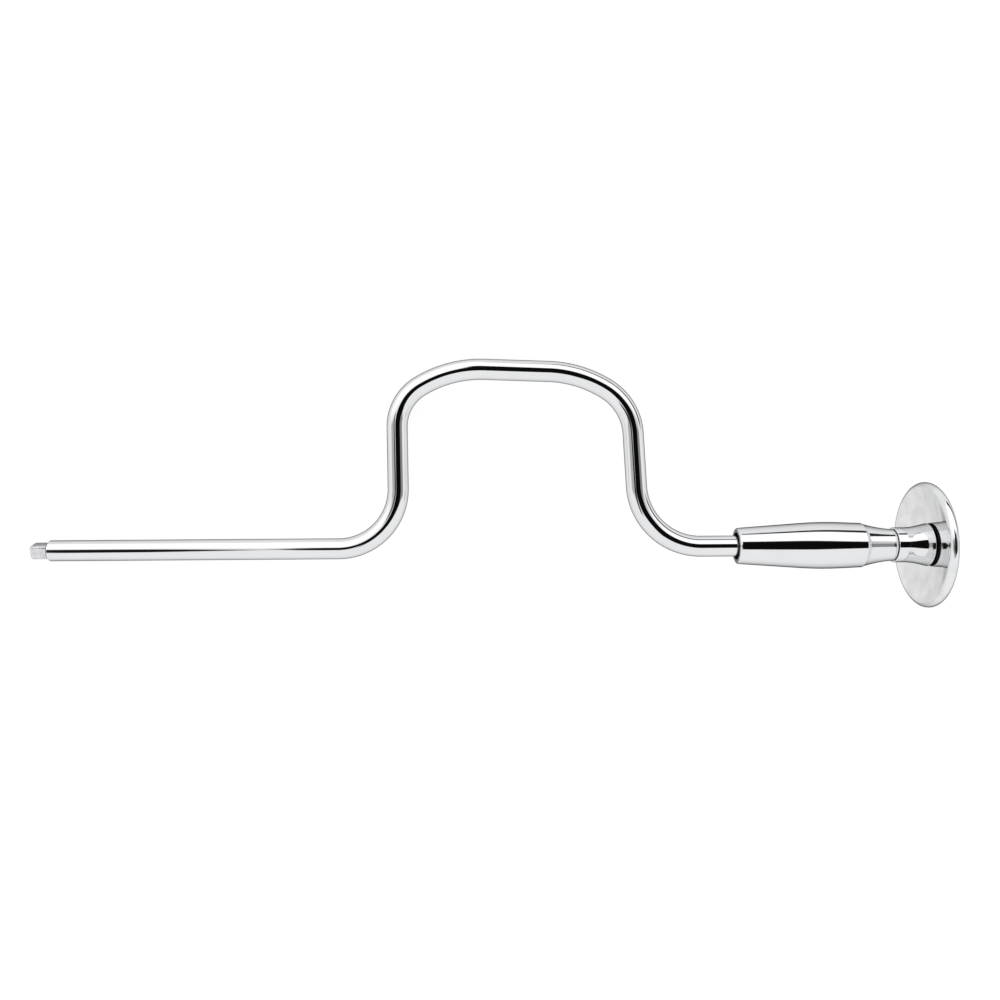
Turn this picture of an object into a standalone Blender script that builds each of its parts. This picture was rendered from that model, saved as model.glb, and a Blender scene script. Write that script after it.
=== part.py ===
"""Chrome speed brace: a cranked bar with a square drive, and a free-turning grip with a palm disc.

The brace lies along X. The square drive's end face is at the origin, the palm disc is at the +X end,
and the crank bends towards +Y. Lengths are metres, angles are degrees. Each turned piece is drawn as
a profile of (x, radius) points, from its drive end to its palm end.
"""
import math

import bmesh
import bpy
from mathutils import Matrix, Vector

# Fits
SEAT_GAP = 0.0003
RUNNING_GAP = 0.0003
LIP_GAP = 0.0001

# Square drive, with its ball catch
DRIVE_ACROSS_FLATS = 0.00635
DRIVE_LENGTH = 0.0075
DRIVE_CORNER_RADIUS = 0.00095
DRIVE_TIP_RADIUS = 0.0008
DRIVE_TURN = 18.0
CATCH_BALL_DIAMETER = 0.0026
CATCH_BALL_PROUD = 0.0005
CATCH_BALL_FROM_TIP = 0.0036
CATCH_HOLE_FLOOR = 0.00115
CATCH_LIP_HEIGHT = 0.0002
CATCH_SPRING_WIRE = 0.00035
CATCH_SPRING_TURNS = 3.5

# Bent bar, as runs and bends from the drive to the handle
BAR_DIAMETER = 0.0097
BAR_END_CHAMFER = 0.0008
DRIVE_ARM_LENGTH = 0.1344
DRIVE_FOOT_RADIUS = 0.0277
DRIVE_LEG_ANGLE = 90.6
DRIVE_LEG_LENGTH = 0.0282
DRIVE_SHOULDER_RADIUS = 0.0218
DRIVE_SHOULDER_ANGLE = 59.8
CROWN_SWEEP_RADIUS = 0.0545
DRIVE_SWEEP_ANGLE = 33.1
CROWN_LENGTH = 0.0297
HANDLE_SWEEP_ANGLE = 30.1
HANDLE_SHOULDER_RADIUS = 0.0261
HANDLE_SHOULDER_ANGLE = 54.4
HANDLE_FOOT_RADIUS = 0.0296
HANDLE_ARM_LENGTH = 0.0165

# Spindle that the handle turns on, and what runs on it
SPINDLE_STEP = 0.00085
SPINDLE_EDGE_RADIUS = 0.0004
BUSH_LENGTH = 0.012
BUSH_WALL = 0.0014
WASHER_THICKNESS = 0.0012
WASHER_CLEARANCE = 0.0005
RING_THICKNESS = 0.0008
RING_WIDTH = 0.0014
RING_OPENING = 0.0034
RING_GROOVE_DEPTH = 0.0008
RING_FROM_SPINDLE_END = 0.0016
THRUST_BALL_DIAMETER = 0.005
BALL_SEAT_DIAMETER = 0.005
BALL_SEAT_HALF_ANGLE = 45.0

# Grip sleeve
MOUTH_CLEARANCE = 0.00145
MOUTH_DEPTH = 0.008
MOUTH_TO_SPINDLE = 0.0015
SLEEVE_FRONT_WALL = 0.00205
SLEEVE_FRONT_RADIUS = 0.00105
BARREL_FRONT_LENGTH = 0.0385
BARREL_CROWN_DIAMETER = 0.0222
BARREL_CROWN_RADIUS = 0.19
BARREL_REAR_LENGTH = 0.0188
RIDGE_DIAMETER = 0.0206
RIDGE_RADIUS = 0.0007
TAPER_LENGTH = 0.0149
SLEEVE_REAR_WALL = 0.0013
NECK_LAND = 0.002
NECK_RADIUS = 0.009

# Neck hub
HUB_LENGTH = 0.0163
HUB_FRONT_STEP = 0.0008
HUB_FRONT_RADIUS = 0.0003
HUB_WAIST_LENGTH = 0.008
HUB_FLARE = 0.00185
HUB_FLARE_RADIUS = 0.03
HUB_EDGE_RADIUS = 0.0002
HUB_SPIGOT_LENGTH = 0.005
HUB_UNDERCUT_DEPTH = 0.0009
HUB_UNDERCUT_WIDTH = 0.0006
HUB_TENON_DIAMETER = 0.012
HUB_TENON_LENGTH = 0.002
HUB_END_RADIUS = 0.0004

# Palm disc, a dished plate with a full-round rim
PALM_DIAMETER = 0.058
PALM_THICKNESS = 0.0041
PALM_DISH_RADIUS = 0.085
PALM_SEAT_MARGIN = 0.0002

# Smoothness of the round forms
BAR_BEVEL_RESOLUTION = 8
BEND_STEP = 6.0
SWEEP_STEP = 5.0
FINE_TURN_STEPS = 56
PLAIN_TURN_STEPS = 32
BALL_SEGMENTS = 16
BALL_RINGS = 10
EDGE_SEGMENTS = 4
ARC_STEP = 23.0
PALM_FACE_STEP = 2.0
PALM_RIM_STEP = 18.0
CATCH_SPRING_POINTS = 9
CATCH_WIRE_RESOLUTION = 1
SHARP_ANGLE = 35.0
WALL_SHARE = 0.49
WELD_DISTANCE = 0.000001


def clear_scene():
    for item in list(bpy.data.objects):
        bpy.data.objects.remove(item, do_unlink=True)


def new_collection(name):
    collection = bpy.data.collections.new(name)
    bpy.context.scene.collection.children.link(collection)
    return collection


def new_material(name, colour, roughness):
    material = bpy.data.materials.new(name)
    material.use_nodes = True
    shader = material.node_tree.nodes["Principled BSDF"]
    shader.inputs["Base Color"].default_value = (*colour, 1.0)
    shader.inputs["Roughness"].default_value = roughness
    shader.inputs["Metallic"].default_value = 1.0
    return material


def new_object(name, data, collection, material=None):
    piece = bpy.data.objects.new(name, data)
    collection.objects.link(piece)
    if material:
        data.materials.append(material)
    return piece


def mark_cutter(piece):
    piece.hide_render = True
    piece.display_type = "WIRE"
    return piece


def add_boolean(piece, other, operation):
    modifier = piece.modifiers.new(f"{operation.lower()} {other.name}", "BOOLEAN")
    modifier.operation = operation
    modifier.solver = "EXACT"
    modifier.object = other


def fillet(before, corner, after, radius):
    """Points of the arc that rounds one corner, with its radius limited by the two walls."""
    to_before = before - corner
    to_after = after - corner
    half_angle = to_before.angle(to_after) / 2
    shorter = min(to_before.length, to_after.length)
    reach = min(radius / math.tan(half_angle), WALL_SHARE * shorter)
    start = corner + to_before.normalized() * reach
    end = corner + to_after.normalized() * reach
    middle = (to_before.normalized() + to_after.normalized()).normalized()
    centre = corner + middle * (reach / math.cos(half_angle))
    sweep = (start - centre).angle_signed(end - centre)
    count = max(2, math.ceil(abs(math.degrees(sweep)) / ARC_STEP))
    spokes = [Matrix.Rotation(-sweep * index / count, 2) for index in range(count + 1)]
    return [centre + spoke @ (start - centre) for spoke in spokes]


def rounded_profile(corners):
    """Profile points through (x, radius, fillet) corners."""
    points = [Vector(corner[:2]) for corner in corners]
    outline = []
    for index, corner in enumerate(corners):
        rounding = corner[2]
        if rounding:
            after = points[(index + 1) % len(points)]
            outline.extend(fillet(points[index - 1], points[index], after, rounding))
        else:
            outline.append(points[index])
    return outline


def turned(name, outline, closed, steps, collection, material=None):
    """A piece turned about X from a profile that lists its outer side from the drive end to the palm end."""
    mesh = bpy.data.meshes.new(name)
    points = [(radius, 0.0, x) for x, radius in reversed(outline)]
    edges = [(index, index + 1) for index in range(len(points) - 1)]
    if closed:
        edges.append((len(points) - 1, 0))
    mesh.from_pydata(points, edges, [])
    piece = new_object(name, mesh, collection, material)
    screw = piece.modifiers.new("turn", "SCREW")
    screw.axis = "Z"
    screw.steps = steps
    screw.render_steps = steps
    screw.use_smooth_shade = True
    screw.use_merge_vertices = True
    screw.merge_threshold = WELD_DISTANCE
    piece.rotation_euler = (0.0, math.pi / 2, 0.0)
    return piece


def ring_profile(x, length, inner_diameter, outer_diameter):
    inner = inner_diameter / 2
    outer = outer_diameter / 2
    corners = [(x, inner), (x, outer), (x + length, outer), (x + length, inner)]
    return [Vector(corner) for corner in corners]


def ball(name, diameter, centre, collection, material):
    mesh = bpy.data.meshes.new(name)
    shape = bmesh.new()
    bmesh.ops.create_uvsphere(shape, u_segments=BALL_SEGMENTS, v_segments=BALL_RINGS, radius=diameter / 2)
    shape.to_mesh(mesh)
    shape.free()
    mesh.shade_smooth()
    piece = new_object(name, mesh, collection, material)
    piece.location = centre
    return piece


def tube(name, points, radii, thickness, resolution, collection, material):
    """A closed tube along the points, made a mesh with its end caps welded on."""
    curve = bpy.data.curves.new(name, "CURVE")
    curve.dimensions = "3D"
    curve.bevel_depth = thickness / 2
    curve.bevel_resolution = resolution
    curve.use_fill_caps = True
    spline = curve.splines.new("POLY")
    spline.points.add(len(points) - 1)
    for target, point, radius in zip(spline.points, points, radii):
        target.co = (*point, 1.0)
        target.radius = radius
    guide = new_object(f"{name}_guide", curve, collection)
    bpy.context.view_layer.update()
    evaluated = guide.evaluated_get(bpy.context.evaluated_depsgraph_get())
    mesh = bpy.data.meshes.new_from_object(evaluated)
    bpy.data.objects.remove(guide, do_unlink=True)
    shape = bmesh.new()
    shape.from_mesh(mesh)
    bmesh.ops.remove_doubles(shape, verts=shape.verts, dist=WELD_DISTANCE)
    shape.to_mesh(mesh)
    shape.free()
    mesh.shade_smooth()
    mesh.set_sharp_from_angle(angle=math.radians(SHARP_ANGLE))
    return new_object(name, mesh, collection, material)


class BendingPath:
    """Centre line of the bar in the crank's plane, built up from straight runs and bends."""

    def __init__(self, x):
        self.points = [Vector((x, 0.0))]
        self.heading = 0.0

    def run(self, length):
        direction = Vector((math.cos(self.heading), math.sin(self.heading)))
        self.points.append(self.points[-1] + length * direction)

    def bend(self, radius, degrees, step):
        count = math.ceil(abs(degrees) / step)
        turn = math.radians(degrees) / count
        chord = 2 * radius * math.sin(abs(turn) / 2)
        for _ in range(count):
            self.heading += turn / 2
            self.run(chord)
            self.heading += turn / 2


def crank_path():
    path = BendingPath(DRIVE_LENGTH)
    path.run(BAR_END_CHAMFER)
    path.run(DRIVE_ARM_LENGTH - BAR_END_CHAMFER)
    path.bend(DRIVE_FOOT_RADIUS, DRIVE_LEG_ANGLE, BEND_STEP)
    path.run(DRIVE_LEG_LENGTH)
    path.bend(DRIVE_SHOULDER_RADIUS, -DRIVE_SHOULDER_ANGLE, BEND_STEP)
    path.bend(CROWN_SWEEP_RADIUS, -DRIVE_SWEEP_ANGLE, SWEEP_STEP)
    path.run(CROWN_LENGTH)
    path.bend(CROWN_SWEEP_RADIUS, -HANDLE_SWEEP_ANGLE, SWEEP_STEP)
    path.bend(HANDLE_SHOULDER_RADIUS, -HANDLE_SHOULDER_ANGLE, BEND_STEP)
    # The last leg and bend bring the bar back onto the drive's axis.
    fall = -path.heading
    foot_height = HANDLE_FOOT_RADIUS * (1 - math.cos(fall))
    path.run((path.points[-1].y - foot_height) / math.sin(fall))
    path.bend(HANDLE_FOOT_RADIUS, math.degrees(fall), BEND_STEP)
    return path.points


# Diameters that fit one piece to another
SPINDLE_DIAMETER = BAR_DIAMETER - 2 * SPINDLE_STEP
RUNNING_DIAMETER = SPINDLE_DIAMETER + 2 * RUNNING_GAP
BUSH_DIAMETER = RUNNING_DIAMETER + 2 * BUSH_WALL
SLEEVE_BORE_DIAMETER = BUSH_DIAMETER + 2 * SEAT_GAP
WASHER_DIAMETER = SLEEVE_BORE_DIAMETER - 2 * WASHER_CLEARANCE
RING_GROOVE_DIAMETER = SPINDLE_DIAMETER - 2 * RING_GROOVE_DEPTH
RING_INNER_DIAMETER = RING_GROOVE_DIAMETER + 2 * SEAT_GAP
RING_OUTER_DIAMETER = RING_INNER_DIAMETER + 2 * RING_WIDTH
MOUTH_DIAMETER = BAR_DIAMETER + 2 * MOUTH_CLEARANCE
SLEEVE_FRONT_DIAMETER = MOUTH_DIAMETER + 2 * SLEEVE_FRONT_WALL
SLEEVE_REAR_DIAMETER = SLEEVE_BORE_DIAMETER + 2 * SLEEVE_REAR_WALL
HUB_WAIST_DIAMETER = SLEEVE_REAR_DIAMETER + 2 * HUB_FRONT_STEP
HUB_REAR_DIAMETER = HUB_WAIST_DIAMETER + 2 * HUB_FLARE
HUB_UNDERCUT_DIAMETER = HUB_REAR_DIAMETER - 2 * HUB_UNDERCUT_DEPTH
PALM_SEAT_DIAMETER = HUB_REAR_DIAMETER + 2 * PALM_SEAT_MARGIN

# Seats of the thrust ball, alike in the spindle's end and in the hub's spigot
BALL_SEAT_SLOPE = math.radians(BALL_SEAT_HALF_ANGLE)
BALL_SEAT_DEPTH = BALL_SEAT_DIAMETER / 2 / math.tan(BALL_SEAT_SLOPE)
BALL_TO_SEAT_POINT = (THRUST_BALL_DIAMETER / 2 + SEAT_GAP) / math.sin(BALL_SEAT_SLOPE)
BALL_TO_FACE = BALL_TO_SEAT_POINT - BALL_SEAT_DEPTH

# Depths in the drive's ball catch, from the flat that carries it
CATCH_BALL_DEPTH = CATCH_BALL_DIAMETER / 2 - CATCH_BALL_PROUD
CATCH_HOLE_DEPTH = DRIVE_ACROSS_FLATS - CATCH_HOLE_FLOOR

# Places along X
CRANK_POINTS = crank_path()
SLEEVE_FRONT_X = CRANK_POINTS[-1].x + HANDLE_ARM_LENGTH
MOUTH_END_X = SLEEVE_FRONT_X + MOUTH_DEPTH
BARREL_CROWN_X = SLEEVE_FRONT_X + BARREL_FRONT_LENGTH
RIDGE_X = BARREL_CROWN_X + BARREL_REAR_LENGTH
SLEEVE_REAR_X = RIDGE_X + TAPER_LENGTH
SPINDLE_X = MOUTH_END_X + MOUTH_TO_SPINDLE
THRUST_WASHER_X = SPINDLE_X + SEAT_GAP
FRONT_BUSH_X = THRUST_WASHER_X + WASHER_THICKNESS + SEAT_GAP
SPIGOT_FRONT_X = SLEEVE_REAR_X - HUB_SPIGOT_LENGTH
THRUST_BALL_X = SPIGOT_FRONT_X - BALL_TO_FACE
SPINDLE_END_X = THRUST_BALL_X - BALL_TO_FACE
RING_X = SPINDLE_END_X - RING_FROM_SPINDLE_END - SEAT_GAP - RING_THICKNESS
RETAINING_WASHER_X = RING_X - SEAT_GAP - WASHER_THICKNESS
REAR_BUSH_X = RETAINING_WASHER_X - SEAT_GAP - BUSH_LENGTH
HUB_X = SLEEVE_REAR_X + SEAT_GAP
HUB_FACE_X = HUB_X + HUB_LENGTH
PALM_SEAT_X = HUB_FACE_X + SEAT_GAP


def build_drive(collection):
    """Square drive with rounded corners and tip, rooted in the bar's end."""
    root_length = BAR_DIAMETER / 2
    length = DRIVE_LENGTH + root_length
    mesh = bpy.data.meshes.new("square_drive")
    shape = bmesh.new()
    bmesh.ops.create_cube(shape, size=1.0)
    bmesh.ops.scale(shape, vec=(length, DRIVE_ACROSS_FLATS, DRIVE_ACROSS_FLATS), verts=shape.verts)
    bmesh.ops.translate(shape, vec=(length / 2, 0.0, 0.0), verts=shape.verts)
    long_edges = [edge for edge in shape.edges if edge.verts[0].co.x != edge.verts[1].co.x]
    bmesh.ops.bevel(shape, geom=long_edges, offset=DRIVE_CORNER_RADIUS, affect="EDGES",
                    segments=EDGE_SEGMENTS, profile=0.5)
    tip_edges = [edge for edge in shape.edges if all(vertex.co.x < length / 2 for vertex in edge.verts)]
    bmesh.ops.bevel(shape, geom=tip_edges, offset=DRIVE_TIP_RADIUS, affect="EDGES",
                    segments=EDGE_SEGMENTS, profile=0.5)
    shape.to_mesh(mesh)
    shape.free()
    piece = new_object("square_drive", mesh, collection)
    piece.rotation_euler = (math.radians(DRIVE_TURN), 0.0, 0.0)
    return mark_cutter(piece)


def build_spindle(collection):
    """Turned spindle with the snap ring's groove and the thrust ball's seat, rooted in the bar."""
    radius = SPINDLE_DIAMETER / 2
    root_x = SPINDLE_X - radius
    groove = RING_GROOVE_DIAMETER / 2
    groove_start = RING_X - SEAT_GAP
    groove_end = RING_X + RING_THICKNESS + SEAT_GAP
    corners = [
        (root_x, 0.0, 0.0),
        (root_x, radius, 0.0),
        (groove_start, radius, 0.0),
        (groove_start, groove, 0.0),
        (groove_end, groove, 0.0),
        (groove_end, radius, 0.0),
        (SPINDLE_END_X, radius, SPINDLE_EDGE_RADIUS),
        (SPINDLE_END_X, BALL_SEAT_DIAMETER / 2, 0.0),
        (SPINDLE_END_X - BALL_SEAT_DEPTH, 0.0, 0.0),
    ]
    outline = rounded_profile(corners)
    return mark_cutter(turned("spindle", outline, False, PLAIN_TURN_STEPS, collection))


def catch_frame():
    """Frame of the ball catch: its origin on the drive's hidden flat, its X axis into the drive."""
    turn = Matrix.Rotation(math.radians(DRIVE_TURN), 4, "X")
    flat = Matrix.Translation((CATCH_BALL_FROM_TIP, -DRIVE_ACROSS_FLATS / 2, 0.0))
    inwards = Matrix.Rotation(math.pi / 2, 4, "Z")
    return turn @ flat @ inwards


def build_catch_hole(collection):
    """Blind hole for the catch, narrowed at its mouth by the staked lip that holds the ball in."""
    outside_x = -CATCH_BALL_DIAMETER
    hole = CATCH_BALL_DIAMETER / 2 + RUNNING_GAP
    lip_to_centre = CATCH_BALL_DEPTH - CATCH_LIP_HEIGHT
    mouth = math.sqrt((CATCH_BALL_DIAMETER / 2 + LIP_GAP) ** 2 - lip_to_centre ** 2)
    corners = [
        (outside_x, 0.0),
        (outside_x, mouth),
        (CATCH_LIP_HEIGHT, mouth),
        (CATCH_LIP_HEIGHT, hole),
        (CATCH_HOLE_DEPTH, hole),
        (CATCH_HOLE_DEPTH, 0.0),
    ]
    outline = [Vector(corner) for corner in corners]
    piece = turned("catch_hole", outline, False, PLAIN_TURN_STEPS, collection)
    piece.matrix_world = catch_frame() @ piece.rotation_euler.to_matrix().to_4x4()
    return mark_cutter(piece)


def build_crank_bar(parts, cutters, material):
    """Bent bar with the square drive at one end and the spindle at the other, as one forging."""
    points = [(*point, 0.0) for point in CRANK_POINTS] + [(SPINDLE_X, 0.0, 0.0)]
    radii = [1.0] * len(points)
    radii[0] = 1.0 - 2 * BAR_END_CHAMFER / BAR_DIAMETER
    bar = tube("crank_bar", points, radii, BAR_DIAMETER, BAR_BEVEL_RESOLUTION, parts, material)
    add_boolean(bar, build_drive(cutters), "UNION")
    add_boolean(bar, build_spindle(cutters), "UNION")
    add_boolean(bar, build_catch_hole(cutters), "DIFFERENCE")


def least_gap(points, wire, points_per_turn):
    """Least clear distance between wire points that are half a turn or more apart."""
    skip = points_per_turn // 2
    pairs = ((one, other) for index, one in enumerate(points) for other in points[index + skip:])
    return min((one - other).length for one, other in pairs) - wire


def build_catch(parts, ball_material, spring_material):
    """Catch ball, held half out of the drive's flat, and the coil spring between it and the hole's floor."""
    frame = catch_frame()
    centre = frame @ Vector((CATCH_BALL_DEPTH, 0.0, 0.0))
    ball("detent_ball", CATCH_BALL_DIAMETER, centre, parts, ball_material)
    wire = CATCH_SPRING_WIRE / 2
    coil = CATCH_BALL_DIAMETER / 2 - CATCH_SPRING_WIRE
    ball_to_wire = CATCH_BALL_DIAMETER / 2 + wire + LIP_GAP
    start = CATCH_BALL_DEPTH + math.sqrt(ball_to_wire ** 2 - coil ** 2)
    end = CATCH_HOLE_DEPTH - wire - LIP_GAP
    count = math.ceil(CATCH_SPRING_TURNS * CATCH_SPRING_POINTS)
    points = []
    for index in range(count + 1):
        share = index / count
        angle = 2 * math.pi * CATCH_SPRING_TURNS * share
        depth = start + share * (end - start)
        points.append(frame @ Vector((depth, coil * math.cos(angle), coil * math.sin(angle))))
    gap = least_gap(points, CATCH_SPRING_WIRE, CATCH_SPRING_POINTS)
    print(f"catch spring: least gap between turns {1000 * gap:.2f} mm")
    radii = [1.0] * len(points)
    tube("detent_spring", points, radii, CATCH_SPRING_WIRE, CATCH_WIRE_RESOLUTION, parts, spring_material)


def sleeve_outline():
    mouth = MOUTH_DIAMETER / 2
    bore = SLEEVE_BORE_DIAMETER / 2
    corners = [
        (SLEEVE_FRONT_X, mouth, 0.0),
        (SLEEVE_FRONT_X, SLEEVE_FRONT_DIAMETER / 2, SLEEVE_FRONT_RADIUS),
        (BARREL_CROWN_X, BARREL_CROWN_DIAMETER / 2, BARREL_CROWN_RADIUS),
        (RIDGE_X, RIDGE_DIAMETER / 2, RIDGE_RADIUS),
        (SLEEVE_REAR_X - NECK_LAND, SLEEVE_REAR_DIAMETER / 2, NECK_RADIUS),
        (SLEEVE_REAR_X, SLEEVE_REAR_DIAMETER / 2, 0.0),
        (SLEEVE_REAR_X, bore, 0.0),
        (MOUTH_END_X, bore, 0.0),
        (MOUTH_END_X, mouth, 0.0),
    ]
    return rounded_profile(corners)


def hub_outline():
    """Spigot with the thrust ball's seat, waist, flare, undercut and the palm disc's tenon."""
    spigot = BUSH_DIAMETER / 2
    undercut_x = HUB_FACE_X - HUB_UNDERCUT_WIDTH
    tenon_end = HUB_FACE_X + HUB_TENON_LENGTH
    corners = [
        (SPIGOT_FRONT_X + BALL_SEAT_DEPTH, 0.0, 0.0),
        (SPIGOT_FRONT_X, BALL_SEAT_DIAMETER / 2, 0.0),
        (SPIGOT_FRONT_X, spigot, HUB_END_RADIUS),
        (HUB_X, spigot, 0.0),
        (HUB_X, HUB_WAIST_DIAMETER / 2, HUB_FRONT_RADIUS),
        (HUB_X + HUB_WAIST_LENGTH, HUB_WAIST_DIAMETER / 2, HUB_FLARE_RADIUS),
        (undercut_x, HUB_REAR_DIAMETER / 2, HUB_EDGE_RADIUS),
        (undercut_x, HUB_UNDERCUT_DIAMETER / 2, 0.0),
        (HUB_FACE_X, HUB_UNDERCUT_DIAMETER / 2, 0.0),
        (HUB_FACE_X, HUB_TENON_DIAMETER / 2, 0.0),
        (tenon_end, HUB_TENON_DIAMETER / 2, HUB_END_RADIUS),
        (tenon_end, 0.0, 0.0),
    ]
    return rounded_profile(corners)


def arc(centre, radius, start, end, step):
    """Points of an arc, with its angles in degrees from the X axis."""
    count = math.ceil(abs(end - start) / step)
    points = []
    for index in range(count + 1):
        angle = math.radians(start + (end - start) * index / count)
        points.append(centre + radius * Vector((math.cos(angle), math.sin(angle))))
    return points


def palm_outline():
    """Socket and seat for the hub, the dished face, the full-round rim and the domed palm side."""
    seat = PALM_SEAT_DIAMETER / 2
    socket = HUB_TENON_DIAMETER / 2 + SEAT_GAP
    socket_end = PALM_SEAT_X + HUB_TENON_LENGTH
    dome_radius = PALM_DISH_RADIUS + PALM_THICKNESS
    rim = PALM_THICKNESS / 2
    middle = PALM_DISH_RADIUS + rim
    seat_angle = math.degrees(math.asin(seat / PALM_DISH_RADIUS))
    rim_angle = math.degrees(math.asin((PALM_DIAMETER / 2 - rim) / middle))
    centre = Vector((PALM_SEAT_X - math.sqrt(PALM_DISH_RADIUS ** 2 - seat ** 2), 0.0))
    rim_direction = Vector((math.cos(math.radians(rim_angle)), math.sin(math.radians(rim_angle))))
    rim_centre = centre + middle * rim_direction
    face_points = arc(centre, PALM_DISH_RADIUS, seat_angle, rim_angle, PALM_FACE_STEP)
    rim_points = arc(rim_centre, rim, rim_angle + 180, rim_angle, PALM_RIM_STEP)
    dome_points = arc(centre, dome_radius, rim_angle, 0.0, PALM_FACE_STEP)
    socket_points = [(socket_end, 0.0), (socket_end, socket), (PALM_SEAT_X, socket)]
    return [Vector(point) for point in socket_points] + face_points[:-1] + rim_points + dome_points[1:]


def build_retaining_ring(parts, cutters, material):
    """Open snap ring that springs into the spindle's groove."""
    outline = ring_profile(RING_X, RING_THICKNESS, RING_INNER_DIAMETER, RING_OUTER_DIAMETER)
    ring = turned("retaining_ring", outline, True, PLAIN_TURN_STEPS, parts, material)
    mesh = bpy.data.meshes.new("ring_opening")
    shape = bmesh.new()
    bmesh.ops.create_cube(shape, size=1.0)
    opening_size = (2 * RING_THICKNESS, RING_OUTER_DIAMETER, RING_OPENING)
    bmesh.ops.scale(shape, vec=opening_size, verts=shape.verts)
    shape.to_mesh(mesh)
    shape.free()
    opening = mark_cutter(new_object("ring_opening", mesh, cutters))
    opening.location = (RING_X + RING_THICKNESS / 2, RING_OUTER_DIAMETER / 2, 0.0)
    add_boolean(ring, opening, "DIFFERENCE")


def build_handle(parts, chrome, bronze, steel):
    """Everything that turns with the hand, on one empty that lies on the spindle's axis."""
    bush = (BUSH_LENGTH, RUNNING_DIAMETER, BUSH_DIAMETER)
    washer = (WASHER_THICKNESS, RUNNING_DIAMETER, WASHER_DIAMETER)
    pieces = [
        turned("grip_sleeve", sleeve_outline(), True, FINE_TURN_STEPS, parts, chrome),
        turned("neck_hub", hub_outline(), False, FINE_TURN_STEPS, parts, chrome),
        turned("palm_disc", palm_outline(), False, FINE_TURN_STEPS, parts, chrome),
        ball("thrust_ball", THRUST_BALL_DIAMETER, (THRUST_BALL_X, 0.0, 0.0), parts, steel),
    ]
    plain_rings = [
        ("thrust_washer", THRUST_WASHER_X, washer, steel),
        ("front_bush", FRONT_BUSH_X, bush, bronze),
        ("rear_bush", REAR_BUSH_X, bush, bronze),
        ("retaining_washer", RETAINING_WASHER_X, washer, steel),
    ]
    for name, x, sizes, material in plain_rings:
        pieces.append(turned(name, ring_profile(x, *sizes), True, PLAIN_TURN_STEPS, parts, material))
    handle_axis = new_object("handle_axis", None, parts)
    for piece in pieces:
        piece.parent = handle_axis


def main():
    clear_scene()
    parts = new_collection("speed_brace")
    cutters = new_collection("speed_brace_cutters")
    chrome = new_material("chrome", (0.80, 0.81, 0.82), 0.06)
    bronze = new_material("bush_bronze", (0.62, 0.43, 0.22), 0.35)
    steel = new_material("hard_steel", (0.52, 0.53, 0.55), 0.22)
    spring_steel = new_material("spring_steel", (0.36, 0.37, 0.39), 0.32)
    build_crank_bar(parts, cutters, chrome)
    build_catch(parts, steel, spring_steel)
    build_retaining_ring(parts, cutters, spring_steel)
    build_handle(parts, chrome, bronze, steel)


main()
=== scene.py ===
"""Looks of the chrome speed brace: finely turned and bent pieces, metal finishes and a white light tent.

The brace lies along X as in the frame, with its crank towards +Y. Lengths are metres, angles are degrees.
Turned pieces are drawn as (x, radius, rounding) corners from the drive end to the palm end.
"""

import math

import bmesh
import bpy
from mathutils import Matrix, Vector


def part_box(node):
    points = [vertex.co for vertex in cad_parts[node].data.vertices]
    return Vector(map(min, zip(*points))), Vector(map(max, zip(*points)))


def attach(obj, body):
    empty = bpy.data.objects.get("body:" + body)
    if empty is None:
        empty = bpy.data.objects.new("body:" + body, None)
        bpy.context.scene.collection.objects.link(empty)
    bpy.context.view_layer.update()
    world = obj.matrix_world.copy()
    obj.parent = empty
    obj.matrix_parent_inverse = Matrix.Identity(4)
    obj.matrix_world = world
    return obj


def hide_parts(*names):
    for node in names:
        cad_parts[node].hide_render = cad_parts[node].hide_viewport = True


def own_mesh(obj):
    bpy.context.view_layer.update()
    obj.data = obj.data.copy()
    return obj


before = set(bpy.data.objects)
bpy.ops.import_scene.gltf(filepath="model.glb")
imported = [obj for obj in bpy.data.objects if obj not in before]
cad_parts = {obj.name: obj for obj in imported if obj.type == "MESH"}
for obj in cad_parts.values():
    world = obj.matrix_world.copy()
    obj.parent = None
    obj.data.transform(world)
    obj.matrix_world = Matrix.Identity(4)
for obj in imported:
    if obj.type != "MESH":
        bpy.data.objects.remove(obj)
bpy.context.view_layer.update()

# Bent bar, as runs and bends from the drive to the handle
DRIVE_ACROSS_FLATS = 0.00635
DRIVE_LENGTH = 0.0075
DRIVE_CORNER_RADIUS = 0.00095
DRIVE_TIP_RADIUS = 0.0008
DRIVE_TURN = 18.0
BAR_END_CHAMFER = 0.0008
BAR_END_ROUNDING = 0.0004
DRIVE_ARM_LENGTH = 0.1344
DRIVE_FOOT_RADIUS = 0.0277
DRIVE_LEG_ANGLE = 90.6
DRIVE_LEG_LENGTH = 0.0282
DRIVE_SHOULDER_RADIUS = 0.0218
DRIVE_SHOULDER_ANGLE = 59.8
CROWN_SWEEP_RADIUS = 0.0545
DRIVE_SWEEP_ANGLE = 33.1
CROWN_LENGTH = 0.0297
HANDLE_SWEEP_ANGLE = 30.1
HANDLE_SHOULDER_RADIUS = 0.0261
HANDLE_SHOULDER_ANGLE = 54.4
HANDLE_FOOT_RADIUS = 0.0296

# Ball catch in the drive's hidden flat
CATCH_BALL_DIAMETER = 0.0026
CATCH_BALL_PROUD = 0.0005
CATCH_BALL_FROM_TIP = 0.0036
CATCH_HOLE_FLOOR = 0.00115
CATCH_LIP_HEIGHT = 0.0002
CATCH_LIP_GAP = 0.0001
CATCH_SPRING_WIRE = 0.00035
CATCH_SPRING_TURNS = 3.5

# Spindle and what runs on it
SPINDLE_STEP = 0.00085
SPINDLE_EDGE_RADIUS = 0.0004
RING_GROOVE_DEPTH = 0.0008
RING_OPENING = 48.0
BALL_SEAT_DIAMETER = 0.005
RUNNING_GAP = 0.0003
SEAT_GAP = 0.0003

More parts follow.
